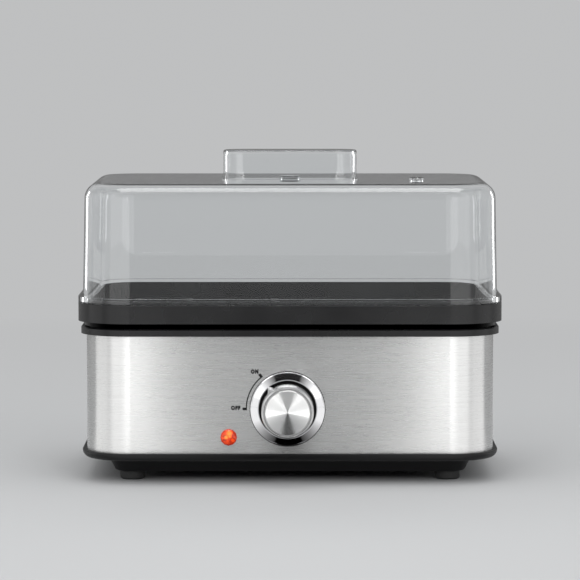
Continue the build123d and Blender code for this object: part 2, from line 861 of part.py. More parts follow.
# Internal leads. Each starts and ends square on a terminal's face; the middles are free runs.
blade_y = -depth / 2 + sleeve_inset + sleeve_wall + switch_depth + switch_blade_length
left_blade = (dial_offset_x - switch_blade_x, blade_y, dial_height)
right_blade = (dial_offset_x + switch_blade_x, blade_y, dial_height)
cutout_blade_z = cutout_low_z - blade_length
pin_y = element_end_y - pin_length
tag_mid_z = tag_z + tag_thickness / 2
lead_routes = {
    "lead_live": [
        (poles[0], block_front_y, pole_z),
        (poles[0], block_front_y - 14, pole_z),
        (poles[0] - 13, 2, pole_z + 5),
        (16, -22, dial_height - 5),
        (right_blade[0], blade_y + 11, dial_height),
        right_blade,
    ],
    "lead_switch": [
        left_blade,
        (left_blade[0], blade_y + 11, dial_height),
        (6, cutout_y - 12, dial_height + 3),
        (fuse_x, fuse_front_y, fuse_end_z - 10),
        (fuse_x, fuse_front_y, fuse_end_z),
    ],
    "lead_cutout": [
        (fuse_x, fuse_back_y, fuse_end_z),
        (fuse_x, fuse_back_y, fuse_end_z - 10),
        (19, cutout_y + 5, cutout_blade_z - 8),
        (7, cutout_y + 1, cutout_blade_z - 12),
        (blade_x, cutout_y, cutout_blade_z - 8),
        (blade_x, cutout_y, cutout_blade_z),
    ],
    "lead_element": [
        (-blade_x, cutout_y, cutout_blade_z),
        (-blade_x, cutout_y, cutout_blade_z - 8),
        (-8, cutout_y + 3, cutout_blade_z - 12),
        (-15, cutout_y + 12, cutout_blade_z - 4),
        (-element_end_x - 2, pin_y - 9, element_z - 7.5),
        (-element_end_x, pin_y - 6, element_z),
        (-element_end_x, pin_y, element_z),
    ],
    "lead_neutral": [
        (element_end_x, pin_y, element_z),
        (element_end_x, pin_y - 6, element_z),
        (element_end_x + 2, pin_y - 9, element_z - 7.5),
        (27, 8, dial_height - 3),
        (poles[1] - 14, block_front_y - 18, pole_z + 5),
        (poles[1], block_front_y - 9, pole_z),
        (poles[1], block_front_y, pole_z),
    ],
    "lead_earth": [
        (poles[2], block_front_y, pole_z),
        (poles[2], block_front_y - 14, pole_z),
        (poles[2] + 7, block_front_y - 15, pole_z + 13),
        (earth_x, 25, element_z - 14),
        (earth_x, 15, tag_mid_z),
        (earth_x, boss_r, tag_mid_z),
    ],
}
for lead_name, lead_points in lead_routes.items():
    with BuildPart() as wire:
        lead(lead_points, lead_r)
        if lead_name == "lead_earth":
            with BuildSketch(housing.offset(tag_z)):
                with Locations((earth_x, 0)):
                    Circle(boss_r + 2 * fit_gap)
                    Circle(screw_r + fit_gap, mode=Mode.SUBTRACT)
            extrude(amount=tag_thickness)
    save(wire, lead_name)

# The lamp's two thin leads, from its holder to the lower edges of the switch's blades
lamp_y = -depth / 2 + sleeve_inset + lens_stem + holder_depth
lamp_end_y = blade_y - switch_blade_length / 2
lamp_end_z = dial_height - blade_width / 2
with BuildPart() as lamp_leads:
    for side, blade in ((-1, left_blade), (1, right_blade)):
        lead(
            [
                (lens_offset_x, lamp_y, lens_height + side),
                (lens_offset_x, lamp_y + 8, lens_height + side),
                (lens_offset_x + 10, blade_y + 6, lens_height + 4 + 2 * side),
                (blade[0], lamp_end_y, lamp_end_z - 7),
                (blade[0], lamp_end_y, lamp_end_z),
            ],
            lamp_lead_r,
        )
save(lamp_leads, "lamp_leads")

# Egg rack: the collar, the recess under it, the deck with its seats, and a skirt inside the pan
deck_z = lid_z - deck_drop
deck_under_z = deck_z - deck_thickness
seat_top_z = deck_z + seat_rim_height
seat_pitch = pan_width / seat_columns - seat_draw_in
row_pitch = pan_depth / seat_rows + seat_spread
lip_inset = lid_inset + lid_wall + slide_gap
lip_top_z = lid_z + lip_height
rack_skirt_gap = 1.0
rack_skirt_z = rack_z - 3.5
rack_edge = 0.4
lip_edge = 0.5
seat_edge = 0.6
steam_hole_spread = 12.0
with BuildPart() as egg_rack:
    slab(shadow_inset, rack_z, recess_z)
    slab(recess_inset, recess_z, collar_z)
    slab(0, collar_z, lid_z)
    chamfer(egg_rack.edges().group_by(Axis.Z)[-1], rack_edge)
    slab(lip_inset, lid_z, lip_top_z)
    chamfer(egg_rack.edges().group_by(Axis.Z)[-1], lip_edge)
    slab(lip_inset + lip_wall, deck_z, lip_top_z, mode=Mode.SUBTRACT)
    pan_slab(-rack_skirt_gap, rack_z, deck_under_z, mode=Mode.SUBTRACT)
    pan_slab(-rack_skirt_gap, rack_skirt_z, deck_under_z)
    pan_slab(-rack_skirt_gap - skirt_wall, rack_skirt_z, deck_under_z, mode=Mode.SUBTRACT)
    with BuildSketch(housing.offset(deck_z)):
        with GridLocations(seat_pitch, row_pitch, seat_columns, seat_rows):
            Circle(seat_r + seat_rim)
    extrude(amount=seat_rim_height)
    chamfer(egg_rack.edges().filter_by_position(Axis.Z, seat_top_z, seat_top_z), seat_edge)
    with BuildSketch(housing.offset(deck_under_z)):
        with GridLocations(seat_pitch, row_pitch, seat_columns, seat_rows):
            Circle(seat_r)
        with GridLocations(seat_pitch, 0, seat_columns - 1, 1):
            Circle(steam_hole_r)
        with GridLocations(seat_pitch, steam_hole_spread, seat_columns, 2):
            Circle(steam_hole_r)
    extrude(amount=seat_top_z - deck_under_z, mode=Mode.SUBTRACT)
save(egg_rack, "egg_rack")

# Clear lid: a drafted shell with a rounded top edge, a stepped-out rim, a vent and a centre nub
nub_edge = 0.4
nub_top_z = lid_top_z + nub_height
vent_places = [(vent_x, -vent_forward)]
with BuildPart(mode=Mode.PRIVATE) as lid_hollow:
    tapered_slab(lid_inset + lid_wall, lid_z, lid_inset + lid_draft + lid_wall, lid_top_z - lid_wall)
    fillet(lid_hollow.edges().group_by(Axis.Z)[-1], lid_edge_r - lid_wall)
with BuildPart() as lid_shell:
    tapered_slab(lid_inset, lid_z, lid_inset + lid_draft, lid_top_z)
    fillet(lid_shell.edges().group_by(Axis.Z)[-1], lid_edge_r)
    slab(0, lid_z, lid_z + rim_height)
    rods([(0, 0)], centre_nub_r, lid_top_z, nub_top_z)
    rods(vent_places, vent_nub_r, lid_top_z, nub_top_z)
    chamfer(lid_shell.edges().group_by(Axis.Z)[-1], nub_edge)
    rods(vent_places, vent_r, lid_top_z - lid_wall, nub_top_z, mode=Mode.SUBTRACT)
    add(lid_hollow.part, mode=Mode.SUBTRACT)
save(lid_shell, "lid_shell")

# Clear handle: a closed-top grip with a small foot, on the middle of the lid
handle_edge_r = 1.2
handle_foot_height = 1.5
with BuildPart() as lid_handle:
    with BuildSketch(housing.offset(lid_top_z)):
        SlotOverall(handle_length, handle_width)
    extrude(amount=handle_height)
    fillet(lid_handle.edges().group_by(Axis.Z)[-1], handle_edge_r)
    with BuildSketch(housing.offset(lid_top_z)):
        SlotOverall(handle_length + 2 * handle_foot, handle_width + 2 * handle_foot)
    extrude(amount=handle_foot_height)
    with BuildSketch(housing.offset(lid_top_z)):
        SlotOverall(handle_length - 2 * handle_wall, handle_width - 2 * handle_wall)
    extrude(amount=handle_height - handle_wall, mode=Mode.SUBTRACT)
save(lid_handle, "lid_handle")
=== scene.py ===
import math

import bmesh
import bpy
from mathutils import Matrix, Vector


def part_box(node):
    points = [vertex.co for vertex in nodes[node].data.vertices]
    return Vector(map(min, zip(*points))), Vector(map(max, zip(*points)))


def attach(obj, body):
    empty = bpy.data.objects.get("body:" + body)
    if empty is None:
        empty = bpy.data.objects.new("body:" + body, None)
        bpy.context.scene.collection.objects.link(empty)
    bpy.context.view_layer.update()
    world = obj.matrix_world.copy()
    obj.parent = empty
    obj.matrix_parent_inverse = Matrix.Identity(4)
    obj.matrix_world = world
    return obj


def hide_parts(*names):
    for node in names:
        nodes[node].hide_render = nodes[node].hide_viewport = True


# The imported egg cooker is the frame; every object below is in metres in the same frame.
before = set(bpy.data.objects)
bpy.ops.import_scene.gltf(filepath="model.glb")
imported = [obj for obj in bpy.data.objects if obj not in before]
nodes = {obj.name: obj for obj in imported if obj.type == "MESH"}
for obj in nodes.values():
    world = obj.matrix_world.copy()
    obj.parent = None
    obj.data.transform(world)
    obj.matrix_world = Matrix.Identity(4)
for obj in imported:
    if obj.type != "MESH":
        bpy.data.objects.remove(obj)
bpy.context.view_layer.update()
MM = 0.001
UP = Vector((0, 0, 1))

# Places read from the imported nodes
front_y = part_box("steel_sleeve")[0].y
top_frame_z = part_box("top_frame")[1].z


def on_front(name):
    """The middle of a node's box brought to the steel's front, and half the width of the box."""
    low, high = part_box(name)
    return Vector(((low.x + high.x) / 2, front_y, (low.z + high.z) / 2)), (high.x - low.x) / 2


dial_centre, bezel_r = on_front("dial_bezel")
lens_centre, lens_r = on_front("indicator_lens")
lens_rise = front_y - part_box("indicator_lens")[0].y


def link(item):
    """Puts an object in the scene."""
    bpy.context.scene.collection.objects.link(item)
    return item


# Camera at the photograph's viewing angle
camera_distance = 1.864
camera_height = 0.2467
camera_tilt = math.radians(85.5)
camera = link(bpy.data.objects.new("camera", bpy.data.cameras.new("camera")))
bpy.context.scene.camera = camera
camera.location = (0, -camera_distance, camera_height)
camera.rotation_euler = (camera_tilt, 0, 0)
camera.data.sensor_width = 36
camera.data.lens = 209.0
bpy.context.scene.view_settings.view_transform = "Standard"


# Node helpers, for a material or the world; patterns run on object coordinates, in cells per metre
def feed(mat, socket, value):
    """Links an output to a socket, or sets the socket to a plain value."""
    if isinstance(value, bpy.types.NodeSocket):
        mat.node_tree.links.new(value, socket)
    else:
        socket.default_value = value


def add_node(mat, kind, **inputs):
    """A new node; a keyword is an input's name, with _ for a space, and its value or an output to link."""
    node = mat.node_tree.nodes.new(kind)
    for name, value in inputs.items():
        feed(mat, node.inputs[name.replace("_", " ")], value)
    return node


def maths(mat, operation, a, b=0.0):
    """One arithmetic step on two values or outputs."""
    node = add_node(mat, "ShaderNodeMath")
    node.operation = operation
    feed(mat, node.inputs[0], a)
    feed(mat, node.inputs[1], b)
    return node.outputs[0]


def vector_maths(mat, operation, a, b=(0, 0, 0)):
    """One step on two vectors or outputs; a length comes out as a value."""
    node = add_node(mat, "ShaderNodeVectorMath")
    node.operation = operation
    feed(mat, node.inputs[0], a)
    feed(mat, node.inputs[1], b)
    return node.outputs["Value" if operation == "LENGTH" else "Vector"]


def place(mat, cells=(1, 1, 1), centre=(0, 0, 0)):
    """Object coordinates measured from centre and multiplied by cells."""
    coordinates = add_node(mat, "ShaderNodeTexCoord").outputs["Object"]
    return vector_maths(mat, "MULTIPLY", vector_maths(mat, "SUBTRACT", coordinates, centre), cells)


def along(mat, axis, centre=(0, 0, 0)):
    """The place along one axis, X, Y or Z, in metres from centre."""
    return add_node(mat, "ShaderNodeSeparateXYZ", Vector=place(mat, centre=centre)).outputs[axis]


def from_axis(mat, centre):
    """The distance in metres from the line that runs front to back through centre."""
    return vector_maths(mat, "LENGTH", place(mat, (1, 0, 1), centre))


def noise(mat, cells, detail=3.0):
    """Cloudy noise with so many cells per metre, one number or one for each axis."""
    cells = cells if isinstance(cells, tuple) else (cells, cells, cells)
    where = place(mat, cells)
    return add_node(mat, "ShaderNodeTexNoise", Vector=where, Scale=1.0, Detail=detail).outputs[0]


def speckle(mat, cells):
    """Scattered points for specks, spangle and facets, as a distance and a random colour for each."""
    return add_node(mat, "ShaderNodeTexVoronoi", Vector=place(mat, (cells, cells, cells)), Scale=1.0)


def bands(mat, cells, distortion):
    """Soft bands with so many cells per metre."""
    where = place(mat, (cells, cells, cells))
    return add_node(mat, "ShaderNodeTexWave", Vector=where, Scale=1.0, Distortion=distortion).outputs[1]


def spread(mat, value, low, high, start=0.3, end=0.7):
    """Maps a pattern's values from start..end to low..high."""
    limits = {"From_Min": start, "From_Max": end, "To_Min": low, "To_Max": high}
    return add_node(mat, "ShaderNodeMapRange", Value=value, **limits).outputs[0]


def grey(mat, colour):
    """A colour output as one value."""
    return maths(mat, "MULTIPLY", colour, 1.0)


def between(mat, factor, dark, light):
    """A colour between two colours, each a triple or an output."""
    node = add_node(mat, "ShaderNodeMix")
    node.data_type = "RGBA"
    feed(mat, node.inputs[0], factor)
    # A mix of two colours has them at inputs 6 and 7, and its result at output 2
    for socket, colour in ((node.inputs[6], dark), (node.inputs[7], light)):
        feed(mat, socket, colour if isinstance(colour, bpy.types.NodeSocket) else (*colour, 1))
    return node.outputs[2]


def mix_shaders(mat, factor, first, second):
    """Shows the first shader where factor is 0 and the second where it is 1."""
    both = add_node(mat, "ShaderNodeMixShader")
    for socket, value in zip(both.inputs, (factor, first, second)):
        feed(mat, socket, value)
    feed(mat, mat.node_tree.nodes["Material Output"].inputs["Surface"], both.outputs[0])


# Surface helpers
def shader(mat):
    """The material's Principled shader."""
    return mat.node_tree.nodes["Principled BSDF"]


def look(name, colour, roughness, metallic=0.0, **settings):
    """A new material; settings are further sockets of its Principled shader, with _ for a space."""
    mat = bpy.data.materials.new(name)
    mat.use_nodes = True
    inputs = shader(mat).inputs
    inputs["Base Color"].default_value = (*colour, 1)
    inputs["Roughness"].default_value = roughness
    inputs["Metallic"].default_value = metallic
    for socket, value in settings.items():
        inputs[socket.replace("_", " ")].default_value = value
    return mat


def own_colour(mat):
    """The output that colours the surface so far."""
    return shader(mat).inputs["Base Color"].links[0].from_socket


def tone(mat, factor, dark, light):
    """Colours the surface from dark to light by a factor."""
    feed(mat, shader(mat).inputs["Base Color"], between(mat, factor, dark, light))


def roughen(mat, pattern, low, high, start=0.3, end=0.7):
    """Sets the roughness from low to high where a pattern goes from start to end."""
    feed(mat, shader(mat).inputs["Roughness"], spread(mat, pattern, low, high, start, end))


def bump(mat, height, distance):
    """Raises the surface by height times distance, over any bump that is there already."""
    node = add_node(mat, "ShaderNodeBump", Height=height, Distance=distance, Strength=1.0)
    below = shader(mat).inputs["Normal"]
    if below.is_linked:
        feed(mat, node.inputs["Normal"], below.links[0].from_socket)
    feed(mat, below, node.outputs["Normal"])


def shades(colour, share):
    """A colour made darker and lighter by a share, as a pair."""
    return tuple(c * (1 - share) for c in colour), tuple(min(1.0, c * (1 + share)) for c in colour)


def moulded(name, colour, roughness, grain, depth, **settings):
    """A moulded plastic or rubber: a fine grain, a slow change of gloss and a faint change of tone."""
    mat = look(name, colour, roughness, **settings)
    slow = noise(mat, 35.0)
    roughen(mat, slow, roughness - 0.05, roughness + 0.06)
    tone(mat, slow, *shades(colour, 0.12))
    bump(mat, noise(mat, grain, detail=4.0), depth)
    return mat


def turned_metal(name, colour, roughness, pitch, depth, **settings):
    """A metal with fine circles about the dial's axis."""
    mat = look(name, colour, roughness, metallic=1.0, **settings)
    rings = add_node(mat, "ShaderNodeTexNoise", Scale=1.0, Detail=4.0)
    rings.noise_dimensions = "1D"
    feed(mat, rings.inputs["W"], maths(mat, "MULTIPLY", from_axis(mat, dial_centre), 1 / pitch))
    tone(mat, rings.outputs[0], *shades(colour, 0.10))
    roughen(mat, rings.outputs[0], roughness - 0.05, roughness + 0.05)
    bump(mat, rings.outputs[0], depth)
    return mat


def clear(name, colour, roughness, ior):
    """A clear moulding that bends light, and lets the lamps' light through to what is inside."""
    mat = look(name, colour, roughness, IOR=ior, Transmission_Weight=1.0)
    roughen(mat, noise(mat, 60.0), roughness * 0.6, roughness * 1.6)
    through = add_node(mat, "ShaderNodeBsdfTransparent", Color=(0.93, 0.95, 0.95, 1))
    shadow = add_node(mat, "ShaderNodeLightPath").outputs["Is Shadow Ray"]
    mix_shaders(mat, shadow, shader(mat).outputs[0], through.outputs[0])
    return mat


looks = {}

# Brushed steel: streaks that run round the body, and a highlight that spreads up and down
quarter_turn = 0.25
steel_colour = (0.60, 0.60, 0.595)
steel = look(
    "brushed_steel",
    steel_colour,
    roughness=0.28,
    metallic=1.0,
    Anisotropic=0.9,
    Anisotropic_Rotation=quarter_turn,
)
long_streaks = noise(steel, (26.0, 26.0, 1500.0), detail=5.0)
short_streaks = noise(steel, (90.0, 90.0, 3200.0), detail=3.0)
streaks = maths(steel, "MULTIPLY", maths(steel, "ADD", long_streaks, short_streaks), 0.5)
brushed = between(steel, spread(steel, streaks, 0.0, 1.0), *shades(steel_colour, 0.06))
roughen(steel, streaks, 0.25, 0.31)
feed(steel, shader(steel).inputs["Tangent"], add_node(steel, "ShaderNodeTangent").outputs[0])
bump(steel, streaks, 0.006 * MM)
looks["sleeve_steel"] = steel

# The wrap's seam, a thin dark line up the back
seam_x = -40.0 * MM
seam_dark, seam_edge = 0.12 * MM, 0.2 * MM
from_seam = maths(steel, "ABSOLUTE", along(steel, "X", (seam_x, 0, 0)))
seam_line = spread(steel, from_seam, 1.0, 0.0, seam_dark, seam_edge)
at_back = maths(steel, "GREATER_THAN", along(steel, "Y"), 0.0)
tone(steel, maths(steel, "MULTIPLY", seam_line, at_back), brushed, (0.03, 0.03, 0.03))

# Black mouldings, with how strongly each one shines
deep_black = (0.006, 0.006, 0.0065)
for slot, colour, roughness, grain, depth, shine in (
    ("body_black", deep_black, 0.26, 1400.0, 0.008 * MM, 0.32),
    ("rack_black", deep_black, 0.25, 1400.0, 0.006 * MM, 0.36),
    ("cover_black", (0.009, 0.009, 0.0095), 0.38, 1800.0, 0.03 * MM, 0.2),
):
    looks[slot] = moulded(slot, colour, roughness, grain, depth, Specular_IOR_Level=shine)

# Rubber, silicone, the nylon of the fittings inside, and the leads' plain covers
for slot, colour, roughness, grain, depth in (
    ("gland_plastic", (0.016, 0.016, 0.017), 0.45, 1800.0, 0.05 * MM),
    ("foot_rubber", (0.022, 0.022, 0.022), 0.72, 1500.0, 0.08 * MM),
    ("switch_body", (0.045, 0.043, 0.04), 0.5, 900.0, 0.05 * MM),
    ("shaft_plastic", (0.72, 0.7, 0.64), 0.42, 900.0, 0.03 * MM),
    ("clip_plastic", (0.74, 0.72, 0.66), 0.42, 900.0, 0.03 * MM),
    ("holder_plastic", (0.8, 0.78, 0.72), 0.42, 900.0, 0.03 * MM),
    ("block_plastic", (0.78, 0.76, 0.7), 0.42, 900.0, 0.03 * MM),
    ("seal_silicone", (0.55, 0.55, 0.53), 0.55, 700.0, 0.05 * MM),
    ("wire_brown", (0.16, 0.06, 0.03), 0.5, 900.0, 0.04 * MM),
    ("wire_black", (0.02, 0.02, 0.02), 0.5, 900.0, 0.04 * MM),
    ("wire_blue", (0.03, 0.1, 0.42), 0.5, 900.0, 0.04 * MM),
    ("wire_red", (0.5, 0.03, 0.02), 0.5, 900.0, 0.04 * MM),
):
    looks[slot] = moulded(slot, colour, roughness, grain, depth)

# Painted shade: the rack below the top of the recess between its collar and the top frame is coloured
# black and made fully metallic, so it shows no reflection and reads as deep shade
shade_top = top_frame_z + 3.0 * MM
shade_edge = 0.1 * MM
rack = looks["rack_black"]
unshaded_part = spread(rack, along(rack, "Z"), 0.0, 1.0, shade_top, shade_top + shade_edge)
tone(rack, unshaded_part, (0.0, 0.0, 0.0), own_colour(rack))
feed(rack, shader(rack).inputs["Metallic"], maths(rack, "SUBTRACT", 1.0, unshaded_part))

# Clear mouldings, and the lamp's tinted glass
clear_tint = (0.93, 0.94, 0.945)
for slot, tint, roughness, ior in (
    ("lid_clear", clear_tint, 0.004, 1.49),
    ("handle_clear", clear_tint, 0.006, 1.49),
    ("lamp_glass", (1.0, 0.78, 0.6), 0.03, 1.5),
):
    looks[slot] = clear(slot, tint, roughness, ior)

# Polished bezel, with painted shade inside its well: nearly black there
well_r = 15.6 * MM
well_edge = 0.1 * MM
bezel = turned_metal(
    "bezel_chrome",
    (0.66, 0.66, 0.67),
    roughness=0.09,
    pitch=0.35 * MM,
    depth=0.001 * MM,
)
unshaded_crest = spread(bezel, from_axis(bezel, dial_centre), 0.0, 1.0, well_r - well_edge, well_r)
# Painted shade: nearly black inside the well's radius, where the knob's well lies in shadow
tone(bezel, unshaded_crest, (0.01, 0.01, 0.01), own_colour(bezel))
looks["bezel_chrome"] = bezel

# Satin knob
looks["knob_metal"] = turned_metal(
    "knob_metal",
    (0.52, 0.52, 0.52),
    roughness=0.26,
    pitch=0.4 * MM,
    depth=0.02 * MM,
)

# Spun cap in the knob's face, shaded as a shallow cone that falls away from the middle
cap_slope = math.tan(math.radians(10))
cap = turned_metal(
    "cap_spun",
    (0.76, 0.76, 0.755),
    roughness=0.22,
    pitch=0.16 * MM,
    depth=0.002 * MM,
    Anisotropic=0.95,
    Anisotropic_Rotation=quarter_turn,
)
cap_tangent = add_node(cap, "ShaderNodeTangent")
cap_tangent.axis = "Y"
feed(cap, shader(cap).inputs["Tangent"], cap_tangent.outputs[0])
bump(cap, maths(cap, "MULTIPLY", from_axis(cap, dial_centre), -1.0), cap_slope)
looks["cap_spun"] = cap

# Plain metals of the fittings inside
for slot, colour, roughness, cells in (
    ("screw_zinc", (0.62, 0.62, 0.6), 0.32, 700.0),
    ("cutout_case", (0.72, 0.72, 0.73), 0.3, 300.0),
    ("fuse_case", (0.78, 0.77, 0.74), 0.28, 300.0),
    ("nut_brass", (0.72, 0.6, 0.32), 0.28, 500.0),
):
    metal = look(slot, colour, roughness, metallic=1.0)
    tarnish = noise(metal, cells, detail=4.0)
    tone(metal, tarnish, *shades(colour, 0.15))
    roughen(metal, tarnish, roughness - 0.06, roughness + 0.12)
    bump(metal, tarnish, 0.01 * MM)
    looks[slot] = metal

# Galvanised sheet with its spangle
bracket = look("bracket_steel", (0.56, 0.57, 0.58), roughness=0.38, metallic=1.0)
spangle = grey(bracket, speckle(bracket, 260.0).outputs["Color"])
tone(bracket, spangle, (0.46, 0.47, 0.48), (0.66, 0.67, 0.68))
roughen(bracket, spangle, 0.3, 0.5, start=0.0, end=1.0)
looks["bracket_steel"] = bracket

# Heat-tinted sheath of the element, from straw to blue grey
sheath = look("element_sheath", (0.3, 0.27, 0.24), roughness=0.4, metallic=1.0)
tint = spread(sheath, noise(sheath, (30.0, 30.0, 120.0)), 0.0, 1.0)
tone(sheath, tint, (0.36, 0.27, 0.17), (0.2, 0.21, 0.25))
bump(sheath, noise(sheath, 1500.0), 0.02 * MM)
looks["element_sheath"] = sheath

# Non-stick coating with its fine light specks
coating = look(
    "pan_coating",
    (0.05, 0.05, 0.053),
    roughness=0.4,
    Coat_Weight=0.25,
    Coat_Roughness=0.25,
)
from_speck = speckle(coating, 420.0).outputs["Distance"]
specks = spread(coating, from_speck, 1.0, 0.0, start=0.10, end=0.22)
tone(coating, specks, (0.045, 0.045, 0.048), (0.2, 0.2, 0.21))
bump(coating, noise(coating, 900.0, detail=4.0), 0.05 * MM)
looks["pan_coating"] = coating

# Glass-fibre sleeving with its weave
sleeving = look("wire_white", (0.78, 0.77, 0.73), roughness=0.75)
weave = bands(sleeving, 900.0, distortion=1.5)
tone(sleeving, weave, (0.66, 0.65, 0.6), (0.82, 0.81, 0.78))
bump(sleeving, weave, 0.08 * MM)
looks["wire_white"] = sleeving

# The earth lead's two colours in stripes
earth = look("wire_earth", (0.1, 0.4, 0.06), roughness=0.5)
stripes = spread(earth, bands(earth, 160.0, distortion=0.0), 0.0, 1.0, start=0.45, end=0.55)
tone(earth, stripes, (0.07, 0.34, 0.05), (0.75, 0.6, 0.03))
bump(earth, noise(earth, 900.0), 0.04 * MM)
looks["wire_earth"] = earth

# Glowing lens: facets from dark red to orange, brighter upwards and dark at the rim
dark_red, orange, yellow = (0.14, 0.004, 0.001), (0.95, 0.10, 0.014), (1.0, 0.52, 0.10)
least_light = 0.45
rim_start, rim_end = 3.3 * MM, 4.6 * MM
lens = look(
    "lens_glow",
    (0.4, 0.02, 0.005),
    roughness=0.15,
    Specular_IOR_Level=0.3,
    Coat_Weight=0.15,
    Coat_Roughness=0.04,
    Emission_Strength=0.74,
)
facets = spread(lens, grey(lens, speckle(lens, 800.0).outputs["Color"]), 0.12, 1.0)
height = spread(lens, along(lens, "Z", lens_centre), 0.0, 1.0, start=-4.5 * MM, end=2.5 * MM)
inside_rim = spread(lens, from_axis(lens, lens_centre), 1.0, 0.0, rim_start, rim_end)
lit_facets = maths(lens, "MULTIPLY", facets, maths(lens, "ADD", height, least_light))
glass = between(lens, maths(lens, "MULTIPLY", lit_facets, inside_rim), dark_red, orange)

# The lamp's yellow shows in the lens at three spots, each with its place and radius in millimetres
core_share = 0.3
glow = 0.0
for spot_x, spot_z, spot_r in ((0.3, 2.2, 1.9), (-1.3, 0.2, 1.4), (0.6, 0.7, 0.9)):
    spot = Vector((lens_centre.x + spot_x * MM, 0, lens_centre.z + spot_z * MM))
    shine = spread(lens, from_axis(lens, spot), 1.0, 0.0, core_share * spot_r * MM, spot_r * MM)
    glow = maths(lens, "MAXIMUM", glow, shine)
feed(lens, shader(lens).inputs["Emission Color"], between(lens, glow, glass, yellow))
looks["lens_red"] = lens

# Printing ink
ink_thickness = 0.04 * MM
ink = look("ink_black", deep_black, roughness=0.5, Specular_IOR_Level=0.15)
bump(ink, noise(ink, 3000.0), 0.004 * MM)

for node in nodes.values():
    for slot_place in node.material_slots:
        slot_place.material = looks[slot_place.material.name]


# Pieces made here
def add_piece(name, mesh, mat):
    """Links a mesh as a piece that rides on the base and takes its finish from a slot."""
    piece = link(bpy.data.objects.new(name, mesh))
    mesh.materials.append(mat)
    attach(piece, "base")
    return piece


def add_shape(name, shape, mat):
    """Makes a piece of a closed shape that has been drawn."""
    bmesh.ops.recalc_face_normals(shape, faces=shape.faces)
    mesh = bpy.data.meshes.new(name)
    shape.to_mesh(mesh)
    shape.free()
    return add_piece(name, mesh, mat)


def front_point(centre, across, up, rise=0.0):
    """A place on the steel's front, across and up from a centre and standing out by rise."""
    return (centre.x + across, front_y - rise, centre.z + up)


def printed(name, outlines):
    """Ink on the steel's front from closed outlines of (across, up) points from the dial's centre."""
    shape = bmesh.new()
    for outline in outlines:
        back = [shape.verts.new(front_point(dial_centre, x, z)) for x, z in outline]
        front = [shape.verts.new(front_point(dial_centre, x, z, ink_thickness)) for x, z in outline]
        shape.faces.new(front)
        shape.faces.new(list(reversed(back)))
        for i in range(len(outline)):
            j = (i + 1) % len(outline)
            shape.faces.new((back[i], back[j], front[j], front[i]))
    add_shape(name, shape, ink)


# Printed scale beside the dial: an arc with a tick at each end
arc_r = 22.2 * MM
arc_width = 0.65 * MM
arc_start, arc_end = math.radians(129), math.radians(180)
arc_steps = 40
tick_length = 2.0 * MM
tick_width = 1.4 * MM
arc_outline = []
for radius, order in ((arc_r + arc_width / 2, 1), (arc_r - arc_width / 2, -1)):
    turns = [arc_start + (arc_end - arc_start) * i / arc_steps for i in range(arc_steps + 1)][::order]
    arc_outline += [(radius * math.cos(t), radius * math.sin(t)) for t in turns]
ticks = []
for turn in (arc_start, arc_end):
    out = Vector((math.cos(turn), math.sin(turn)))
    across = Vector((-out.y, out.x)) * tick_width / 2
    near = out * (arc_r - arc_width / 2)
    far = out * (arc_r + tick_length)
    ticks.append([near - across, far - across, far + across, near + across])
printed("printed_arc", [arc_outline])
printed("printed_ticks", ticks)


def lettering(name, text, centre_x, centre_z, width, height):
    """Bold sans letters in ink, centred at a place from the dial's centre and stretched to a size."""
    words = bpy.data.curves.new(name, "FONT")
    words.body = text
    words.align_x = "CENTER"
    words.offset = 0.1
    words.space_character = 1.35
    words.extrude = 0.5
    source = link(bpy.data.objects.new(name + "_source", words))
    bpy.context.view_layer.update()
    evaluated = source.evaluated_get(bpy.context.evaluated_depsgraph_get())
    mesh = bpy.data.meshes.new_from_object(evaluated)
    bpy.data.objects.remove(source)
    corners = [v.co.copy() for v in mesh.vertices]
    low = Vector(min(c[i] for c in corners) for i in range(3))
    high = Vector(max(c[i] for c in corners) for i in range(3))
    for v in mesh.vertices:
        share = [(v.co[i] - low[i]) / (high[i] - low[i]) for i in range(3)]
        across = centre_x + (share[0] - 0.5) * width
        up = centre_z + (share[1] - 0.5) * height
        v.co = front_point(dial_centre, across, up, share[2] * ink_thickness)
    mesh.name = name
    add_piece(name, mesh, ink)


lettering("printed_off", "OFF", -27.9 * MM, 0.55 * MM, width=5.0 * MM, height=2.4 * MM)
lettering("printed_on", "ON", -17.7 * MM, 20.2 * MM, width=4.1 * MM, height=2.45 * MM)

# Black ring between the bezel and the steel, a painted shadow that stands in for the shade in the gap
# there and shows as a thin dark line
shadow_ring_r = bezel_r + 0.4 * MM
shadow_ring_thickness = 0.25 * MM
shadow_ring_steps = 128
shadow_ring = bmesh.new()
loops = []
for radius, rise in (
    (bezel_r, 0),
    (bezel_r, shadow_ring_thickness),
    (shadow_ring_r, shadow_ring_thickness),
    (shadow_ring_r, 0),
):
    turns = [2 * math.pi * i / shadow_ring_steps for i in range(shadow_ring_steps)]
    places = [front_point(dial_centre, radius * math.cos(t), radius * math.sin(t), rise) for t in turns]
    loops.append([shadow_ring.verts.new(p) for p in places])
for loop, following in zip(loops, loops[1:] + loops[:1]):
    for i in range(shadow_ring_steps):
        j = (i + 1) % shadow_ring_steps
        shadow_ring.faces.new((loop[i], loop[j], following[j], following[i]))
# Painted shadow: the black ring stands in for the shade in the gap round the bezel
add_shape("bezel_shadow_ring", shadow_ring, looks["foot_rubber"])

# Faceted lens over the lamp, in place of the plain one: rings of corners from the steel's front outwards
gem = bmesh.new()
for radius_share, rise_share, count, turn in (
    (1.0, 0.0, 12, 0.0),
    (1.0, 0.3, 12, 0.0),
    (0.78, 0.72, 12, 0.5),
    (0.42, 0.95, 6, 0.0),
):
    radius = lens_r * radius_share
    angles = [2 * math.pi * (i + turn) / count for i in range(count)]
    for angle in angles:
        across, up = radius * math.cos(angle), radius * math.sin(angle)
        gem.verts.new(front_point(lens_centre, across, up, lens_rise * rise_share))
bmesh.ops.convex_hull(gem, input=gem.verts)
faceted_lens = add_shape("faceted_lens", gem, lens)
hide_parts("indicator_lens")


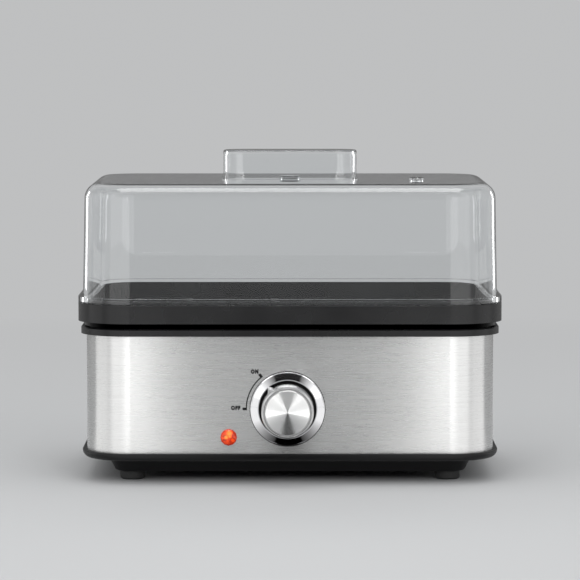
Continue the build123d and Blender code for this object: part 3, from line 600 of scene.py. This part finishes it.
# Floor: pale near the object, and further off the same colour as the sky, so no horizon shows
backdrop = (0.52, 0.525, 0.53)
floor_r = 60.0
fade_start, fade_end = 0.25, 1.0
floor_mesh = bpy.data.meshes.new("floor")
disc = bmesh.new()
bmesh.ops.create_circle(disc, cap_ends=True, segments=96, radius=floor_r)
disc.to_mesh(floor_mesh)
disc.free()
floor = link(bpy.data.objects.new("floor", floor_mesh))
pale = look("pale_floor", backdrop, roughness=0.9, Specular_IOR_Level=0.0)
horizon = spread(pale, vector_maths(pale, "LENGTH", place(pale)), 0.0, 1.0, fade_start, fade_end)
sky_like = add_node(pale, "ShaderNodeEmission", Color=(*backdrop, 1), Strength=1.0)
mix_shaders(pale, horizon, shader(pale).outputs[0], sky_like.outputs[0])
floor_mesh.materials.append(pale)

# Sky: the same pale colour, a little dimmer where it only lights things
world = bpy.data.worlds.new("sky")
world.use_nodes = True
sky = world.node_tree.nodes["Background"]
sky.inputs["Color"].default_value = (*backdrop, 1)
path = add_node(world, "ShaderNodeLightPath").outputs
seen = maths(world, "MAXIMUM", path["Is Camera Ray"], path["Is Glossy Ray"])
seen = maths(world, "MAXIMUM", seen, path["Is Transmission Ray"])
feed(world, sky.inputs["Strength"], spread(world, seen, 0.9, 1.0, 0.0, 1.0))
bpy.context.scene.world = world

# Corners of the studio's right half on the ground, in metres
key_in, key_middle, key_out = (0.17, -0.755), (0.32, -0.675), (0.66, -0.495)
side_out, strip_out = (0.72, -0.36), (0.82, 0.10)
hot_in, hot_out = (0.085, -0.24), (0.16, -0.20)
hot_far_y = -0.66
gap_x, gap_back_y, gap_front_y = 0.0155, -0.072, -0.095
near_out_x, near_back_y = 0.32, -0.02
body_out_x, body_front_y = 0.14, -0.074
flag_out, flag_in = (0.60, 0.14), (0.35, 0.62)

# Heights of the softboxes' edges, the lower cards, the flags and the cards that lie on the floor
box_low, box_high = 0.17, 0.95
strip_high = 0.10
flag_high = 0.3
floor_card_z, gap_card_z = 0.001, 0.002

# The sloping cards' lower and upper edge as (y, z), and how far across they are dark, light again and end
slope_foot, slope_head = (-0.50, 0.31), (-0.36, 0.47)
slope_dark_x, slope_light_x, slope_out_x = 0.178, 0.40, 0.42


# Studio lamps and cards
def hide_from(item, *rays):
    """Hides an object from some kinds of ray."""
    for ray in rays:
        setattr(item, f"visible_{ray}", False)


def area_lamp(name, width, height, brightness):
    """A rectangular lamp that looks evenly bright, 1 being white, and that the camera doesn't see."""
    lamp = bpy.data.lights.new(name, "AREA")
    lamp.shape = "RECTANGLE"
    lamp.size = width
    lamp.size_y = height
    lamp.energy = brightness * math.pi * lamp.size * lamp.size_y
    box = link(bpy.data.objects.new(name, lamp))
    hide_from(box, "camera")
    return box


def softbox(name, start, end, low, high, brightness, through):
    """An upright lamp over the ground line from start to end, facing the object.

    It shows through the clear lid only where through is true.
    """
    start, end = Vector((*start, 0)), Vector((*end, 0))
    across = (end - start).normalized()
    facing = across.cross(UP)
    centre = (start + end) / 2 + UP * (low + high) / 2
    if facing.dot(centre) > 0:
        facing = -facing
        across = -across
    box = area_lamp(name, (end - start).length, high - low, brightness)
    box.matrix_world = Matrix.Translation(centre) @ Matrix((across, UP, -facing)).transposed().to_4x4()
    box.visible_transmission = through


def card(name, corners, inner, outer=None, start=0.0, end=1.0, through=False):
    """A card that only reflections show, and the clear lid too where through is true.

    Its brightness is inner all over, or goes from inner to outer between the distances start and end from
    the middle plane.
    """
    mesh = bpy.data.meshes.new(name)
    mesh.from_pydata(corners, [], [tuple(range(len(corners)))])
    mat = bpy.data.materials.new(name)
    mat.use_nodes = True
    mat.node_tree.nodes.clear()
    glow = add_node(mat, "ShaderNodeEmission", Color=(1, 1, 1, 1), Strength=inner)
    if outer is not None:
        from_middle = maths(mat, "ABSOLUTE", along(mat, "X"))
        feed(mat, glow.inputs["Strength"], spread(mat, from_middle, inner, outer, start, end))
    feed(mat, add_node(mat, "ShaderNodeOutputMaterial").inputs["Surface"], glow.outputs[0])
    mesh.materials.append(mat)
    sheet = link(bpy.data.objects.new(name, mesh))
    hide_from(sheet, "camera", "diffuse", "volume_scatter", "shadow")
    sheet.visible_transmission = through


def upright(start, end, low, high):
    """The corners of an upright card over the ground line from start to end."""
    return [(*start, low), (*end, low), (*end, high), (*start, high)]


def level(corners, height):
    """The corners of a level card from its (x, y) corners."""
    return [(x, y, height) for x, y in corners]


def sloping(start_x, end_x):
    """The corners of a card on the slope in front of the lid, between two places across."""
    return [(start_x, *slope_foot), (end_x, *slope_foot), (end_x, *slope_head), (start_x, *slope_head)]


def mirrored(points, side):
    """Points (x, y) of the studio's right half, moved to the left half where side is -1."""
    return [(x * side, y) for x, y in points]


# Outlines of the right half's cards on the floor
hot_corners = [hot_in, (hot_in[0], hot_far_y), (hot_out[0], hot_far_y), hot_out]
near_corners = [
    (gap_x, gap_back_y),
    (gap_x, gap_front_y),
    (0.03, -0.14),
    hot_in,
    hot_out,
    key_in,
    key_middle,
    (near_out_x, near_back_y),
    (body_out_x, near_back_y),
    (body_out_x, body_front_y),
]
far_corners = [key_middle, key_out, side_out, (0.80, 0.10), (near_out_x, 0.02)]

# Both halves: softboxes, then cards below them, on the floor, behind at the sides and on the slope
for side, tag in ((-1, "left"), (1, "right")):
    for name, start, end, low, high, brightness, through in (
        ("hot_key", (0.096, -0.78), (0.22, -0.73), box_low, box_high, 3.3, False),
        ("key", (0.222, -0.729), (0.66, -0.49), box_low, box_high, 1.5, False),
        ("side", (0.665, -0.48), (0.79, -0.14), box_low, box_high, 0.35, False),
        ("far_side", (0.79, -0.13), (0.82, 0.12), 0.13, box_high, 0.4, False),
        ("rim", (0.62, 0.62), (0.54, 0.70), 0.05, 0.36, 3.0, True),
    ):
        softbox(f"{name}_{tag}", *mirrored((start, end), side), low, high, brightness, through)
    for name, start, end, high, brightness, through in (
        ("low_key", key_in, key_out, box_low, 1.3, True),
        ("low_side", key_out, side_out, box_low, 0.8, False),
        ("strip", side_out, strip_out, strip_high, 1.4, False),
    ):
        corners = upright(*mirrored((start, end), side), 0.0, high)
        card(f"{name}_{tag}", corners, brightness, through=through)
    for name, corners, inner, outer, start, end in (
        ("floor_hot", hot_corners, 3.1, None, 0.0, 1.0),
        ("floor_near", near_corners, 0.05, 1.3, gap_x, 0.08),
        ("floor_far", far_corners, 1.3, 0.6, 0.50, 0.64),
    ):
        card(f"{name}_{tag}", level(mirrored(corners, side), floor_card_z), inner, outer, start, end)
    flag_corners = upright(*mirrored((flag_out, flag_in), side), 0.0, flag_high)
    card(f"flag_{tag}", flag_corners, 0.25, outer=0.65, start=0.42, end=0.60)
    shade_corners = sloping(slope_dark_x * side, slope_out_x * side)
    card(f"ring_shade_{tag}", shade_corners, 0.15, outer=1.4, start=slope_dark_x, end=slope_light_x)

# Cards across the middle: dark ones in front and behind, the cap's shade and a bright one overhead
back_corners = upright((-0.35, 0.66), (0.35, 0.66), 0.0, flag_high)
gap_corners = [(-gap_x, gap_back_y), (gap_x, gap_back_y), (gap_x, gap_front_y), (-gap_x, gap_front_y)]
wedge_corners = [(-0.005, -0.096), (0.005, -0.096), (0.024, -0.22), (-0.024, -0.22)]
cap_corners = upright((-0.18, -0.60), (0.18, -0.60), 0.19, 0.55)
overhead_corners = [(-0.5, -0.62), (0.5, -0.62), (0.5, 0.0), (-0.5, 0.0)]
card("flag_top", sloping(-slope_dark_x, slope_dark_x), 0.0)
card("back_flag", back_corners, 0.2)
card("flag_low", level(gap_corners, gap_card_z), 0.0)
card("flag_cap", level(wedge_corners, gap_card_z), 0.0)
card("cap_shade", cap_corners, 0.3, outer=0.0, start=0.06, end=0.14)
card("overhead", level(overhead_corners, 1.14), 6.0)

# Lamps from above and from behind, which no reflection shows
for name, width, height, location, tilt, brightness in (
    ("top", 1.1, 0.8, (0, -0.05, 1.15), 0, 1.3),
    ("back", 1.3, 0.7, (0, 1.05, 0.85), -60, 1.2),
):
    lamp = area_lamp(name, width, height, brightness)
    lamp.location = location
    lamp.rotation_euler = (math.radians(tilt), 0, 0)
    hide_from(lamp, "transmission", "glossy")
